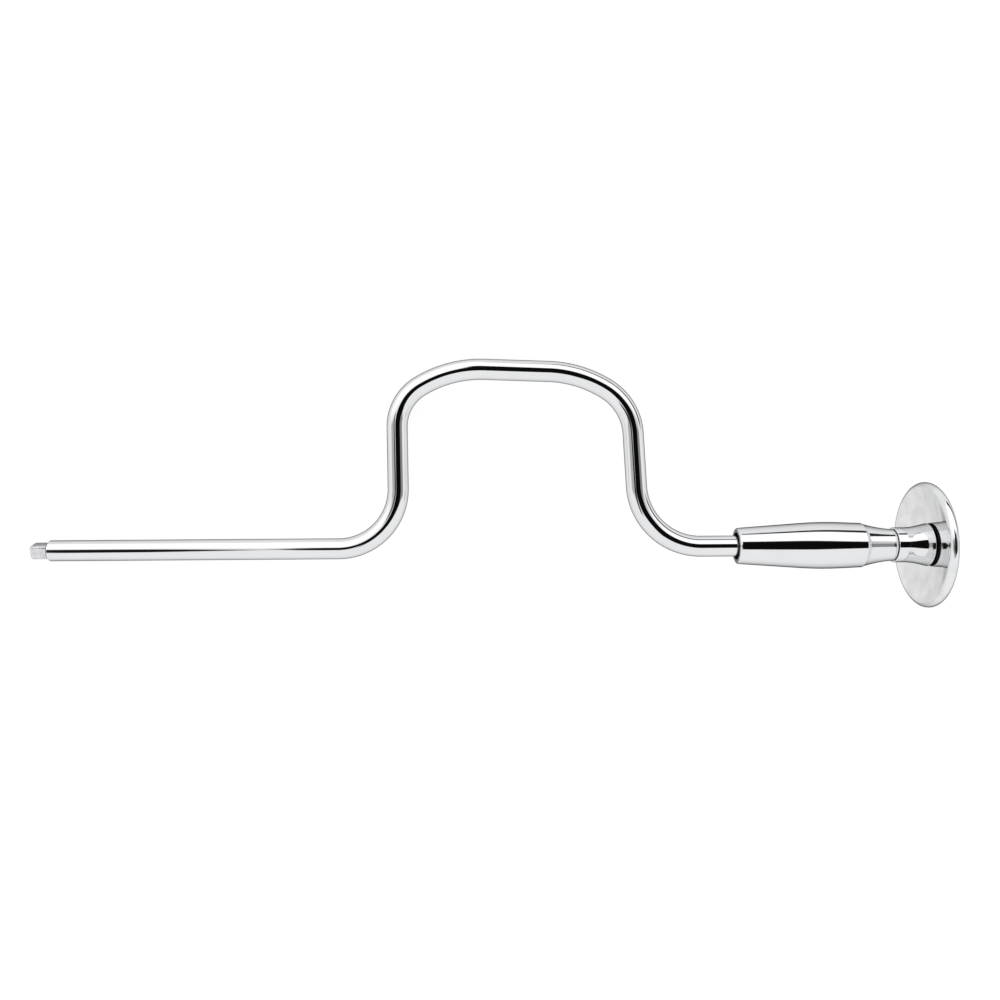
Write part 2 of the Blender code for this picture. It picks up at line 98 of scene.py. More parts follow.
# Grip sleeve
MOUTH_CLEARANCE = 0.00145
MOUTH_DEPTH = 0.008
MOUTH_TO_SPINDLE = 0.0015
SLEEVE_FRONT_WALL = 0.00205
SLEEVE_FRONT_RADIUS = 0.00105
BARREL_FRONT_LENGTH = 0.0385
BARREL_CROWN_DIAMETER = 0.0222
BARREL_CROWN_RADIUS = 0.19
BARREL_REAR_LENGTH = 0.0188
RIDGE_DIAMETER = 0.0206
RIDGE_RADIUS = 0.0007
SLEEVE_BORE_DIAMETER = 0.012
SLEEVE_REAR_WALL = 0.0013
RIDGE_STEP = 0.0005
RIDGE_STEP_LENGTH = 0.0012
NECK_SLOPE = 0.07
NECK_ROUNDING = 0.046
NECK_STEPS = 6

# Neck hub
HUB_SPIGOT_DIAMETER = 0.0114
HUB_SPIGOT_LENGTH = 0.005
HUB_FRONT_STEP = 0.0008
HUB_FRONT_RADIUS = 0.0003
HUB_WAIST_LENGTH = 0.008
HUB_FLARE = 0.00185
HUB_FLARE_RADIUS = 0.03
HUB_EDGE_RADIUS = 0.0002
HUB_UNDERCUT_DEPTH = 0.0009
HUB_UNDERCUT_WIDTH = 0.0006
HUB_TENON_DIAMETER = 0.012
HUB_TENON_LENGTH = 0.002
HUB_END_RADIUS = 0.0004

# Palm disc
PALM_THICKNESS = 0.0041
PALM_DISH_RADIUS = 0.085
PALM_SEAT_MARGIN = 0.0002

# Smoothness
BAR_SIDES = 96
BEND_STEP = 1.5
TURN_STEPS = 160
BALL_SEGMENTS = 64
WIRE_SIDES = 20
COIL_STEPS = 64
EDGE_SEGMENTS = 6
ARC_STEP = 6.0
ARC_FEWEST_STEPS = 4
PALM_STEP = 0.5
BROKEN_EDGE = 0.00012
SHARP_ANGLE = 30.0
WELD_DISTANCE = 0.000001
WALL_SHARE = 0.49

# Finishes: noise as (scale, detail), roughness as (where its pattern is 0, where it is 1), relief as the
# height of a bump, and edge as the grey that reflections take on where the metal is seen edge-on; a low
# edge grey paints dark outlines of shade round the metal
CHROME_SHADE = (0.84, 0.85, 0.87)
CHROME_LIGHT = (0.92, 0.925, 0.935)
# Painted shade: a near-black edge grey that paints dark outlines round the chrome, in place of the shaded
# floor that its edges reflect
PLATE_EDGE_PAINTED_SHADE = 0.02
PLATE_RELIEF = 0.00002
BAR_CLOUD = (70.0, 3.0)
BAR_SPECKLE = (900.0, 4.0)
BAR_SPECKLE_RELIEF = 0.02
BAR_ROUGHNESS = (0.025, 0.055)
DRIVE_SHADE = (0.62, 0.625, 0.645)
DRIVE_LIGHT = (0.9, 0.9, 0.915)
# Painted shade: a dark edge grey that paints dark outlines round the square drive
DRIVE_EDGE_PAINTED_SHADE = 0.2
DRIVE_MOTTLE = (0.2, 0.8)
DRIVE_ROUGHNESS = (0.08, 0.2)
GRIP_CLOUD = (80.0, 3.0)
GRIP_LINES = (5000.0, 2.0)
GRIP_LINES_STRETCH = (1.0, 0.02, 0.02)
GRIP_LINES_RELIEF = 0.01
GRIP_ROUGHNESS = (0.025, 0.065)
# Painted shade: near black for the grip's bore and the hub's undercut, in place of the shade in these
# recesses
RECESS_PAINTED_SHADE_COLOUR = (0.03, 0.03, 0.03)
RECESS_PAINTED_SHADE_ROUGHNESS = 0.5
PALM_SHADE = (0.76, 0.765, 0.775)
PALM_LIGHT = (0.96, 0.96, 0.965)
PALM_EDGE = 0.75
PALM_RELIEF = 0.00001
PALM_MOTTLE = (150.0, 6.0)
PALM_MOTTLE_RANGE = (0.25, 0.75)
PALM_MOTTLE_SHARE = 0.75
PALM_ROUGHNESS = (0.02, 0.07)
PALM_RINGS = (2500.0, 3.0)
PALM_RINGS_RELIEF = 0.1
PALM_RINGS_ROUGHNESS = 0.03
RIM_ROUGHNESS = (0.03, 0.05)
PLAIN_EDGE = 0.5
BRONZE_SHADE = (0.36, 0.22, 0.10)
BRONZE_LIGHT = (0.70, 0.48, 0.25)
BRONZE_CLOUD = (300.0, 3.0)
BRONZE_PORES = (4000.0, 2.0)
BRONZE_PORES_RANGE = (0.35, 0.55)
BRONZE_PORES_SHARE = 0.6
BRONZE_ROUGHNESS = (0.5, 0.3)
BRONZE_RELIEF = 0.00002
STEEL_SHADE = (0.46, 0.47, 0.49)
STEEL_LIGHT = (0.60, 0.61, 0.63)
STEEL_CLOUD = (250.0, 3.0)
STEEL_MARKS = (6000.0, 3.0)
STEEL_MARKS_STRETCH = (1.0, 0.1, 1.0)
STEEL_ROUGHNESS = (0.14, 0.28)
STEEL_RELIEF = 0.000004
SPRING_SHADE = (0.26, 0.27, 0.32)
SPRING_LIGHT = (0.44, 0.43, 0.42)
SPRING_CLOUD = (400.0, 3.0)
SPRING_DRAW_MARKS = (5000.0, 3.0)
SPRING_ROUGHNESS = (0.24, 0.40)
SPRING_RELIEF = 0.000004

# Photograph's viewpoint
CAMERA_PLACE = (0.2168, 0.0221, 0.41014)
CAMERA_LENS = 31.812
CAMERA_ROLL = -0.407
CAMERA_NEAR = 0.01

# Light tent: its walls, and its dark openings as (light, blur, corners), with the corners in degrees from
# straight up towards +X and +Y
TENT_BRIGHT = 1.16
TENT_PLAIN = 0.9
TENT_TURN = (0.14, 0.42)
TENT_OPENINGS = [
    (0.004, 1.5, [(-4, 31), (-4, -21), (36, -13), (36, 20)]),
    (0.004, 1.5, [(-15.5, 1), (-13, -12), (-2, -14), (-2, 16), (-13, 14)]),
    (0.01, 2.0, [(-32, 13), (-32, -23), (-24, -21), (-15, -3), (-24, 12)]),
    (0.5, 4.0, [(-60, 12), (-60, -12), (-32, -12), (-32, 12)]),
    (0.65, 3.0, [(35, 30), (35, -12), (60, -12), (60, 30)]),
    (0.45, 3.0, [(35, 12), (35, -12), (60, -12), (60, 12)]),
]

# Dark slit between the floor's far edge and the tent's wall, as sines of angles above the floor
SLIT_LIGHT = 0.02
SLIT_TOP = 0.13
SLIT_GROWTH = 0.15
SLIT_BLUR = 0.012
SLIT_ENDS = (-0.1, 0.2)
SLIT_TURN = (0.1, 0.3)

# Floor
FLOOR_SIZE = 3.0
FLOOR_SHADE = (0.90, 0.90, 0.90)
FLOOR_LIGHT = (0.94, 0.94, 0.94)
FLOOR_GRAIN = (60.0, 3.0)
FLOOR_DROP = 0.0002
FLOOR_SEEN_GLOW = 1.18
FLOOR_SEEN_SHARE = 0.72
FLOOR_MIRRORED_GLOW = 0.92
FLOOR_MIRRORED_SHARE = 0.8
REST_STEPS = 4

# Places taken from the frame
BAR_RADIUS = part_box("crank_bar")[1].z
SPINDLE_RADIUS = BAR_RADIUS - SPINDLE_STEP
RUNNING_RADIUS = SPINDLE_RADIUS + RUNNING_GAP
SLEEVE_FRONT_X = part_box("grip_sleeve")[0].x
SLEEVE_REAR_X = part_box("grip_sleeve")[1].x
SPINDLE_X = SLEEVE_FRONT_X + MOUTH_DEPTH + MOUTH_TO_SPINDLE
SPINDLE_END_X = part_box("crank_bar")[1].x
RING_FRONT_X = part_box("retaining_ring")[0].x
RING_REAR_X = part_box("retaining_ring")[1].x
RING_OUTER_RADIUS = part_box("retaining_ring")[1].z
HUB_X = SLEEVE_REAR_X + SEAT_GAP
HUB_FACE_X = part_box("neck_hub")[1].x - HUB_TENON_LENGTH
MOUTH_RADIUS = BAR_RADIUS + MOUTH_CLEARANCE
NECK_OUTER_RADIUS = SLEEVE_BORE_DIAMETER / 2 + SLEEVE_REAR_WALL
HUB_WAIST_RADIUS = NECK_OUTER_RADIUS + HUB_FRONT_STEP
HUB_RADIUS = HUB_WAIST_RADIUS + HUB_FLARE
HUB_UNDERCUT_X = HUB_FACE_X - HUB_UNDERCUT_WIDTH
PALM_SEAT_X = HUB_FACE_X + SEAT_GAP
PALM_DIAMETER = 2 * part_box("palm_disc")[1].z
PALM_FACE_RADIUS = (PALM_DIAMETER - PALM_THICKNESS) / 2

# Ball catch, measured into the drive from the flat that carries it
CATCH_FRAME = (Matrix.Rotation(math.radians(DRIVE_TURN), 4, "X")
               @ Matrix.Translation((CATCH_BALL_FROM_TIP, -DRIVE_ACROSS_FLATS / 2, 0.0))
               @ Matrix.Rotation(math.pi / 2, 4, "Z"))
CATCH_BALL_DEPTH = CATCH_BALL_DIAMETER / 2 - CATCH_BALL_PROUD
CATCH_HOLE_DEPTH = DRIVE_ACROSS_FLATS - CATCH_HOLE_FLOOR


def fillet(before, corner, after, radius):
    """Points of the arc that rounds one corner, with its radius limited by the two walls."""
    to_before = before - corner
    to_after = after - corner
    half_angle = to_before.angle(to_after) / 2
    shorter = min(to_before.length, to_after.length)
    reach = min(radius / math.tan(half_angle), WALL_SHARE * shorter)
    start = corner + to_before.normalized() * reach
    end = corner + to_after.normalized() * reach
    middle = (to_before.normalized() + to_after.normalized()).normalized()
    centre = corner + middle * (reach / math.cos(half_angle))
    sweep = (start - centre).angle_signed(end - centre)
    count = max(ARC_FEWEST_STEPS, math.ceil(abs(math.degrees(sweep)) / ARC_STEP))
    spokes = [Matrix.Rotation(-sweep * index / count, 2) for index in range(count + 1)]
    return [centre + spoke @ (start - centre) for spoke in spokes]


def rounded(corners, closed):
    """Profile points through (x, radius, rounding) corners; the ends of an open profile stay sharp."""
    points = [Vector(corner[:2]) for corner in corners]
    outline = []
    for index, corner in enumerate(corners):
        at_end = not closed and index in (0, len(corners) - 1)
        if at_end:
            outline.append(points[index])
        else:
            after = points[(index + 1) % len(points)]
            outline.extend(fillet(points[index - 1], points[index], after, corner[2] or BROKEN_EDGE))
    return outline


def turned(outline, closed):
    """A shape turned about X from (x, radius) points."""
    shape = bmesh.new()
    points = [shape.verts.new((x, 0.0, radius)) for x, radius in outline]
    edges = [shape.edges.new(pair) for pair in zip(points, points[1:])]
    if closed:
        edges.append(shape.edges.new((points[-1], points[0])))
    bmesh.ops.spin(shape, geom=points + edges, cent=(0, 0, 0), axis=(1, 0, 0), angle=2 * math.pi,
                   steps=TURN_STEPS, use_merge=True)
    return tidied(shape)


def tidied(shape):
    bmesh.ops.remove_doubles(shape, verts=shape.verts, dist=WELD_DISTANCE)
    bmesh.ops.recalc_face_normals(shape, faces=shape.faces)
    return shape


def piece_from(name, shape):
    """A new object at the origin."""
    mesh = bpy.data.meshes.new(name)
    shape.to_mesh(mesh)
    shape.free()
    piece = bpy.data.objects.new(name, mesh)
    bpy.context.scene.collection.objects.link(piece)
    return piece


def reshaped(piece, shape, operation):
    """Joins a shape to the piece, or cuts it out."""
    other = piece_from("other", shape)
    modifier = piece.modifiers.new("reshape", "BOOLEAN")
    modifier.operation = operation
    modifier.solver = "EXACT"
    modifier.object = other
    evaluated = piece.evaluated_get(bpy.context.evaluated_depsgraph_get())
    mesh = bpy.data.meshes.new_from_object(evaluated)
    piece.modifiers.clear()
    piece.data = mesh
    bpy.data.objects.remove(other, do_unlink=True)


def stand_in(piece, node, body, material):
    """The fine piece takes its node's place, body and finish, and is shaded smooth between sharp edges."""
    piece.data.shade_smooth()
    piece.data.set_sharp_from_angle(angle=math.radians(SHARP_ANGLE))
    piece.data.materials.clear()
    piece.data.materials.append(material)
    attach(piece, body)
    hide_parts(node)


class BarForm:
    """The round bar, drawn by moving a ring of edges along runs and bends."""

    def __init__(self, x, radius):
        self.shape = bmesh.new()
        turn = Matrix.Translation((x, 0.0, 0.0)) @ Matrix.Rotation(math.pi / 2, 4, "Y")
        bmesh.ops.create_circle(self.shape, cap_ends=True, segments=BAR_SIDES, radius=radius, matrix=turn)
        self.ring = list(self.shape.edges)
        self.place = Vector((x, 0.0, 0.0))
        self.heading = 0.0
        self.radius = radius

    def run(self, length, radius):
        """A straight run that ends at this radius."""
        made = bmesh.ops.extrude_edge_only(self.shape, edges=self.ring)["geom"]
        points = [item for item in made if isinstance(item, bmesh.types.BMVert)]
        step = length * Vector((math.cos(self.heading), math.sin(self.heading), 0.0))
        self.place = self.place + step
        bmesh.ops.translate(self.shape, verts=points, vec=step)
        scale = radius / self.radius
        bmesh.ops.scale(self.shape, verts=points, vec=(scale, scale, scale),
                        space=Matrix.Translation(-self.place))
        self.radius = radius
        edges = [item for item in made if isinstance(item, bmesh.types.BMEdge)]
        self.ring = [edge for edge in edges if set(points).issuperset(edge.verts)]

    def bend(self, radius, degrees):
        """A bend in the crank's plane, to the left where the angle is positive."""
        side = math.copysign(1.0, degrees)
        left = Vector((-math.sin(self.heading), math.cos(self.heading), 0.0))
        centre = self.place + side * radius * left
        angle = math.radians(degrees)
        made = bmesh.ops.spin(self.shape, geom=self.ring, cent=centre, axis=(0, 0, 1), angle=angle,
                              steps=math.ceil(abs(degrees) / BEND_STEP))["geom_last"]
        self.ring = [item for item in made if isinstance(item, bmesh.types.BMEdge)]
        self.place = centre + Matrix.Rotation(angle, 3, "Z") @ (self.place - centre)
        self.heading += angle

    def close(self):
        bmesh.ops.edgeloop_fill(self.shape, edges=self.ring)
        return tidied(self.shape)


def bent_bar():
    end_corners = [
        (DRIVE_LENGTH, 0.0, 0.0),
        (DRIVE_LENGTH, BAR_RADIUS - BAR_END_CHAMFER, BROKEN_EDGE),
        (DRIVE_LENGTH + BAR_END_CHAMFER, BAR_RADIUS, BAR_END_ROUNDING),
        (DRIVE_LENGTH + DRIVE_ARM_LENGTH, BAR_RADIUS, 0.0),
    ]
    end_points = rounded(end_corners, closed=False)[1:]
    form = BarForm(*end_points[0])
    for x, radius in end_points[1:]:
        form.run(x - form.place.x, radius)
    form.bend(DRIVE_FOOT_RADIUS, DRIVE_LEG_ANGLE)
    form.run(DRIVE_LEG_LENGTH, BAR_RADIUS)
    form.bend(DRIVE_SHOULDER_RADIUS, -DRIVE_SHOULDER_ANGLE)
    form.bend(CROWN_SWEEP_RADIUS, -DRIVE_SWEEP_ANGLE)
    form.run(CROWN_LENGTH, BAR_RADIUS)
    form.bend(CROWN_SWEEP_RADIUS, -HANDLE_SWEEP_ANGLE)
    form.bend(HANDLE_SHOULDER_RADIUS, -HANDLE_SHOULDER_ANGLE)
    # The last leg and bend bring the bar back onto the drive's axis.
    fall = -form.heading
    foot_height = HANDLE_FOOT_RADIUS * (1 - math.cos(fall))
    form.run((form.place.y - foot_height) / math.sin(fall), BAR_RADIUS)
    form.bend(HANDLE_FOOT_RADIUS, math.degrees(fall))
    form.run(SPINDLE_X - form.place.x, BAR_RADIUS)
    return form.close()


def square_drive():
    """Square drive with rounded corners and tip, rooted in the bar's end."""
    length = DRIVE_LENGTH + BAR_RADIUS
    place = Matrix.Rotation(math.radians(DRIVE_TURN), 4, "X") @ Matrix.Translation((length / 2, 0.0, 0.0))
    size = Matrix.Diagonal((length, DRIVE_ACROSS_FLATS, DRIVE_ACROSS_FLATS, 1.0))
    shape = bmesh.new()
    bmesh.ops.create_cube(shape, size=1.0, matrix=place @ size)
    long_edges = [edge for edge in shape.edges
                  if abs(edge.verts[0].co.x - edge.verts[1].co.x) > DRIVE_LENGTH]
    bmesh.ops.bevel(shape, geom=long_edges, offset=DRIVE_CORNER_RADIUS, affect="EDGES",
                    segments=EDGE_SEGMENTS, profile=0.5, material=-1)
    tip_edges = [edge for edge in shape.edges if all(vertex.co.x < length / 2 for vertex in edge.verts)]
    bmesh.ops.bevel(shape, geom=tip_edges, offset=DRIVE_TIP_RADIUS, affect="EDGES",
                    segments=EDGE_SEGMENTS, profile=0.5, material=-1)
    return shape


def spindle():
    """Turned spindle with the snap ring's groove and the thrust ball's seat, rooted in the bar."""
    groove = SPINDLE_RADIUS - RING_GROOVE_DEPTH
    groove_start = RING_FRONT_X - SEAT_GAP
    groove_end = RING_REAR_X + SEAT_GAP
    seat = BALL_SEAT_DIAMETER / 2
    corners = [
        (SPINDLE_X - SPINDLE_RADIUS, 0.0, 0.0),
        (SPINDLE_X - SPINDLE_RADIUS, SPINDLE_RADIUS, 0.0),
        (groove_start, SPINDLE_RADIUS, 0.0),
        (groove_start, groove, 0.0),
        (groove_end, groove, 0.0),
        (groove_end, SPINDLE_RADIUS, 0.0),
        (SPINDLE_END_X, SPINDLE_RADIUS, SPINDLE_EDGE_RADIUS),
        (SPINDLE_END_X, seat, 0.0),
        (SPINDLE_END_X - seat, 0.0, 0.0),
    ]
    return turned(rounded(corners, closed=False), closed=False)


def catch_hole():
    """Blind hole for the catch, narrowed at its mouth by the staked lip that holds the ball in."""
    outside = -CATCH_BALL_DIAMETER
    hole = CATCH_BALL_DIAMETER / 2 + RUNNING_GAP
    lip_to_centre = CATCH_BALL_DEPTH - CATCH_LIP_HEIGHT
    mouth = math.sqrt((CATCH_BALL_DIAMETER / 2 + CATCH_LIP_GAP) ** 2 - lip_to_centre ** 2)
    outline = [(outside, 0.0), (outside, mouth), (CATCH_LIP_HEIGHT, mouth), (CATCH_LIP_HEIGHT, hole),
               (CATCH_HOLE_DEPTH, hole), (CATCH_HOLE_DEPTH, 0.0)]
    shape = turned(outline, closed=False)
    bmesh.ops.transform(shape, matrix=CATCH_FRAME, verts=shape.verts)
    return shape


def crank_bar():
    """Bent bar with the square drive at one end and the spindle at the other, as one forging."""
    bar = piece_from("bar", bent_bar())
    reshaped(bar, square_drive(), "UNION")
    reshaped(bar, spindle(), "UNION")
    reshaped(bar, catch_hole(), "DIFFERENCE")
    return bar


def ball(centre, diameter):
    shape = bmesh.new()
    bmesh.ops.create_uvsphere(shape, u_segments=BALL_SEGMENTS, v_segments=BALL_SEGMENTS // 2,
                              radius=diameter / 2, matrix=Matrix.Translation(centre))
    return shape


def catch_spring():
    """Coil spring between the catch ball and the hole's floor."""
    wire = CATCH_SPRING_WIRE / 2
    coil = CATCH_BALL_DIAMETER / 2 - CATCH_SPRING_WIRE
    ball_to_wire = CATCH_BALL_DIAMETER / 2 + wire + CATCH_LIP_GAP
    start = CATCH_BALL_DEPTH + math.sqrt(ball_to_wire ** 2 - coil ** 2)
    end = CATCH_HOLE_DEPTH - wire - CATCH_LIP_GAP
    steps = math.ceil(CATCH_SPRING_TURNS * COIL_STEPS)
    upright = Matrix.Translation((start, coil, 0.0))
    shape = bmesh.new()
    bmesh.ops.create_circle(shape, cap_ends=True, segments=WIRE_SIDES, radius=wire, matrix=upright)
    ring = list(shape.edges)
    pitch = ((end - start) / steps, 0, 0)
    last = bmesh.ops.spin(shape, geom=ring, cent=(0, 0, 0), axis=(1, 0, 0), dvec=pitch,
                          angle=2 * math.pi * CATCH_SPRING_TURNS, steps=steps)["geom_last"]
    last_ring = [item for item in last if isinstance(item, bmesh.types.BMEdge)]
    bmesh.ops.edgeloop_fill(shape, edges=last_ring)
    bmesh.ops.transform(shape, matrix=CATCH_FRAME, verts=shape.verts)
    return tidied(shape)


def hollow_taper(start_x, start_radius):
    """Corners of the hollow curve from the grip's ridge down to its neck, flattest at the neck."""
    length = SLEEVE_REAR_X - start_x
    hollow = (start_radius - NECK_OUTER_RADIUS - NECK_SLOPE * length) / length ** 2
    corners = []
    for index in range(NECK_STEPS):
        back = length * (1 - index / NECK_STEPS)
        radius = NECK_OUTER_RADIUS + NECK_SLOPE * back + hollow * back ** 2
        corners.append((SLEEVE_REAR_X - back, radius, NECK_ROUNDING))
    return corners


def grip_sleeve():
    bore = SLEEVE_BORE_DIAMETER / 2
    mouth_end = SLEEVE_FRONT_X + MOUTH_DEPTH
    crown_x = SLEEVE_FRONT_X + BARREL_FRONT_LENGTH
    ridge_x = crown_x + BARREL_REAR_LENGTH
    corners = [
        (SLEEVE_FRONT_X, MOUTH_RADIUS, 0.0),
        (SLEEVE_FRONT_X, MOUTH_RADIUS + SLEEVE_FRONT_WALL, SLEEVE_FRONT_RADIUS),
        (crown_x, BARREL_CROWN_DIAMETER / 2, BARREL_CROWN_RADIUS),
        (ridge_x, RIDGE_DIAMETER / 2, RIDGE_RADIUS),
        *hollow_taper(ridge_x + RIDGE_STEP_LENGTH, RIDGE_DIAMETER / 2 - RIDGE_STEP),
        (SLEEVE_REAR_X, NECK_OUTER_RADIUS, 0.0),
        (SLEEVE_REAR_X, bore, 0.0),
        (mouth_end, bore, 0.0),
        (mouth_end, MOUTH_RADIUS, 0.0),
    ]
    return turned(rounded(corners, closed=True), closed=True)


def neck_hub():
    """Spigot with the thrust ball's seat, waist, flare, undercut and the palm disc's tenon."""
    undercut = HUB_RADIUS - HUB_UNDERCUT_DEPTH
    spigot_x = SLEEVE_REAR_X - HUB_SPIGOT_LENGTH
    tenon_end = HUB_FACE_X + HUB_TENON_LENGTH
    seat = BALL_SEAT_DIAMETER / 2
    corners = [
        (spigot_x + seat, 0.0, 0.0),
        (spigot_x, seat, 0.0),
        (spigot_x, HUB_SPIGOT_DIAMETER / 2, HUB_END_RADIUS),
        (HUB_X, HUB_SPIGOT_DIAMETER / 2, 0.0),
        (HUB_X, HUB_WAIST_RADIUS, HUB_FRONT_RADIUS),
        (HUB_X + HUB_WAIST_LENGTH, HUB_WAIST_RADIUS, HUB_FLARE_RADIUS),
        (HUB_UNDERCUT_X, HUB_RADIUS, HUB_EDGE_RADIUS),
        (HUB_UNDERCUT_X, undercut, 0.0),
        (HUB_FACE_X, undercut, 0.0),
        (HUB_FACE_X, HUB_TENON_DIAMETER / 2, 0.0),
        (tenon_end, HUB_TENON_DIAMETER / 2, HUB_END_RADIUS),
        (tenon_end, 0.0, 0.0),
    ]
    return turned(rounded(corners, closed=False), closed=False)


def arc(centre, radius, start, end, step):
    """Points of an arc, with its angles from the X axis."""
    count = math.ceil(abs(end - start) / step)
    angles = [math.radians(start + (end - start) * index / count) for index in range(count + 1)]
    return [centre + radius * Vector((math.cos(angle), math.sin(angle))) for angle in angles]


def palm_disc():
    """Socket and seat for the hub, the dished face, the full-round rim and the domed palm side."""
    seat = HUB_RADIUS + PALM_SEAT_MARGIN
    socket = HUB_TENON_DIAMETER / 2 + SEAT_GAP
    socket_end = PALM_SEAT_X + HUB_TENON_LENGTH
    rim = PALM_THICKNESS / 2
    middle = PALM_DISH_RADIUS + rim
    seat_angle = math.degrees(math.asin(seat / PALM_DISH_RADIUS))
    rim_angle = math.degrees(math.asin((PALM_DIAMETER / 2 - rim) / middle))
    centre = Vector((PALM_SEAT_X - math.sqrt(PALM_DISH_RADIUS ** 2 - seat ** 2), 0.0))
    rim_direction = Vector((math.cos(math.radians(rim_angle)), math.sin(math.radians(rim_angle))))
    face_points = arc(centre, PALM_DISH_RADIUS, seat_angle, rim_angle, PALM_STEP)
    rim_points = arc(centre + middle * rim_direction, rim, rim_angle + 180, rim_angle, ARC_STEP)
    dome_points = arc(centre, PALM_DISH_RADIUS + PALM_THICKNESS, rim_angle, 0.0, PALM_STEP)
    socket_points = [Vector((socket_end, 0.0)), Vector((socket_end, socket)), Vector((PALM_SEAT_X, socket))]
    return turned(socket_points + face_points[:-1] + rim_points + dome_points[1:], closed=False)


def plain_ring(node, inner):
    """A bush or washer that fills its node's box, with broken edges."""
    low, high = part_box(node)
    corners = [(low.x, inner, 0.0), (low.x, high.z, 0.0), (high.x, high.z, 0.0), (high.x, inner, 0.0)]
    return turned(rounded(corners, closed=True), closed=True)


def snap_ring():
    """Open ring that springs into the spindle's groove."""
    inner = SPINDLE_RADIUS - RING_GROOVE_DEPTH + SEAT_GAP
    corners = [(RING_FRONT_X, inner, 0.0), (RING_FRONT_X, RING_OUTER_RADIUS, 0.0),
               (RING_REAR_X, RING_OUTER_RADIUS, 0.0), (RING_REAR_X, inner, 0.0)]
    shape = bmesh.new()
    points = [shape.verts.new((x, radius, 0.0)) for x, radius in rounded(corners, closed=True)]
    section = shape.faces.new(points)
    half_opening = math.radians(RING_OPENING / 2)
    bmesh.ops.rotate(shape, verts=points, cent=(0, 0, 0), matrix=Matrix.Rotation(half_opening, 3, "X"))
    bmesh.ops.spin(shape, geom=points + list(section.edges) + [section], cent=(0, 0, 0), axis=(1, 0, 0),
                   angle=2 * math.pi - 2 * half_opening, steps=TURN_STEPS)
    return tidied(shape)


class Shade:
    """One socket of a finish: arithmetic on it adds Math nodes, and node() adds any other node."""

    def __init__(self, tree, socket):
        self.tree = tree
        self.socket = socket

    def node(self, kind, settings, inputs, output=0):
        """Adds a node, with its settings first and then the values or links of its sockets."""
        made = self.tree.nodes.new(kind)
        for name, setting in settings.items():
            setattr(made, name, setting)
        for name, value in inputs.items():
            self.feed(made.inputs[name], value)
        return Shade(self.tree, made.outputs[output])

    def feed(self, socket, value):
        if isinstance(value, Shade):
            self.tree.links.new(value.socket, socket)
        else:
            socket.default_value = value

    def maths(self, operation, first, second):
        return self.node("ShaderNodeMath", {"operation": operation}, {0: first, 1: second})

    def __add__(self, other):
        return self.maths("ADD", self, other)

    def __sub__(self, other):
        return self.maths("SUBTRACT", self, other)

    def __rsub__(self, other):
        return self.maths("SUBTRACT", other, self)

    def __mul__(self, other):
        return self.maths("MULTIPLY", self, other)

    __radd__ = __add__
    __rmul__ = __mul__

    def towards(self, depth):
        """The angle from straight up, for two parts of a direction."""
        return self.maths("ARCTAN2", self, depth) * math.degrees(1.0)

    def rises(self, low, high):
        """A soft step from 0 at low to 1 at high."""
        bounds = {"Value": self, "From Min": low, "From Max": high}
        return self.node("ShaderNodeMapRange", {"interpolation_type": "SMOOTHSTEP"}, bounds)

    def spans(self, low, high):
        """Values from low to high, where this one goes from 0 to 1."""
        return low + (high - low) * self

    def parts(self):
        return [self.node("ShaderNodeSeparateXYZ", {}, {0: self}, axis) for axis in range(3)]

    def stretched(self, scale):
        return self.node("ShaderNodeVectorMath", {"operation": "MULTIPLY"}, {0: self, 1: scale})

    def dot(self, vector):
        inputs = {0: self, 1: vector}
        return self.node("ShaderNodeVectorMath", {"operation": "DOT_PRODUCT"}, inputs, "Value")

    def length(self):
        return self.node("ShaderNodeVectorMath", {"operation": "LENGTH"}, {0: self}, "Value")

    def noise(self, scale, detail):
        return self.node("ShaderNodeTexNoise", {}, {"Vector": self, "Scale": scale, "Detail": detail})

    def rings(self, scale, detail):
        """Noise along this one value, such as a radius."""
        inputs = {"W": self, "Scale": scale, "Detail": detail}
        return self.node("ShaderNodeTexNoise", {"noise_dimensions": "1D"}, inputs)

    def blends(self, first, second):
        """A colour between two, by this value."""
        return self.node("ShaderNodeMix", {"data_type": "RGBA"}, {0: self, 6: first, 7: second}, 2)

    def tints(self, dark, light):
        return self.blends((*dark, 1.0), (*light, 1.0))

    def bump(self, distance):
        return self.node("ShaderNodeBump", {}, {"Height": self, "Distance": distance})

    def rays(self, kind):
        """1 for the rays of one kind."""
        return self.node("ShaderNodeLightPath", {}, {}, kind)

    def metal(self, edge, colour, roughness, normal):
        """A bare metal surface, with the grey that its reflections take on where it is seen edge-on; a low
        grey there paints a dark outline of shade.
        """
        return self.node("ShaderNodeBsdfPrincipled", {}, {
            "Base Color": colour, "Metallic": 1.0, "Roughness": roughness, "Normal": normal,
            "Specular Tint": (edge, edge, edge, 1.0)})

    def joins(self, first, second):
        """One surface that gives way to another, by this value."""
        return self.node("ShaderNodeMixShader", {}, {0: self, 1: first, 2: second})


def finish(name):
    """A new finish without a surface yet: its material and the object's own coordinates."""
    material = bpy.data.materials.new(name)
    material.use_nodes = True
    material.node_tree.nodes.clear()
    coordinates = material.node_tree.nodes.new("ShaderNodeTexCoord")
    return material, Shade(material.node_tree, coordinates.outputs["Object"])


def cover(material, surface):
    surface.feed(surface.tree.nodes.new("ShaderNodeOutputMaterial").inputs["Surface"], surface)
    return material


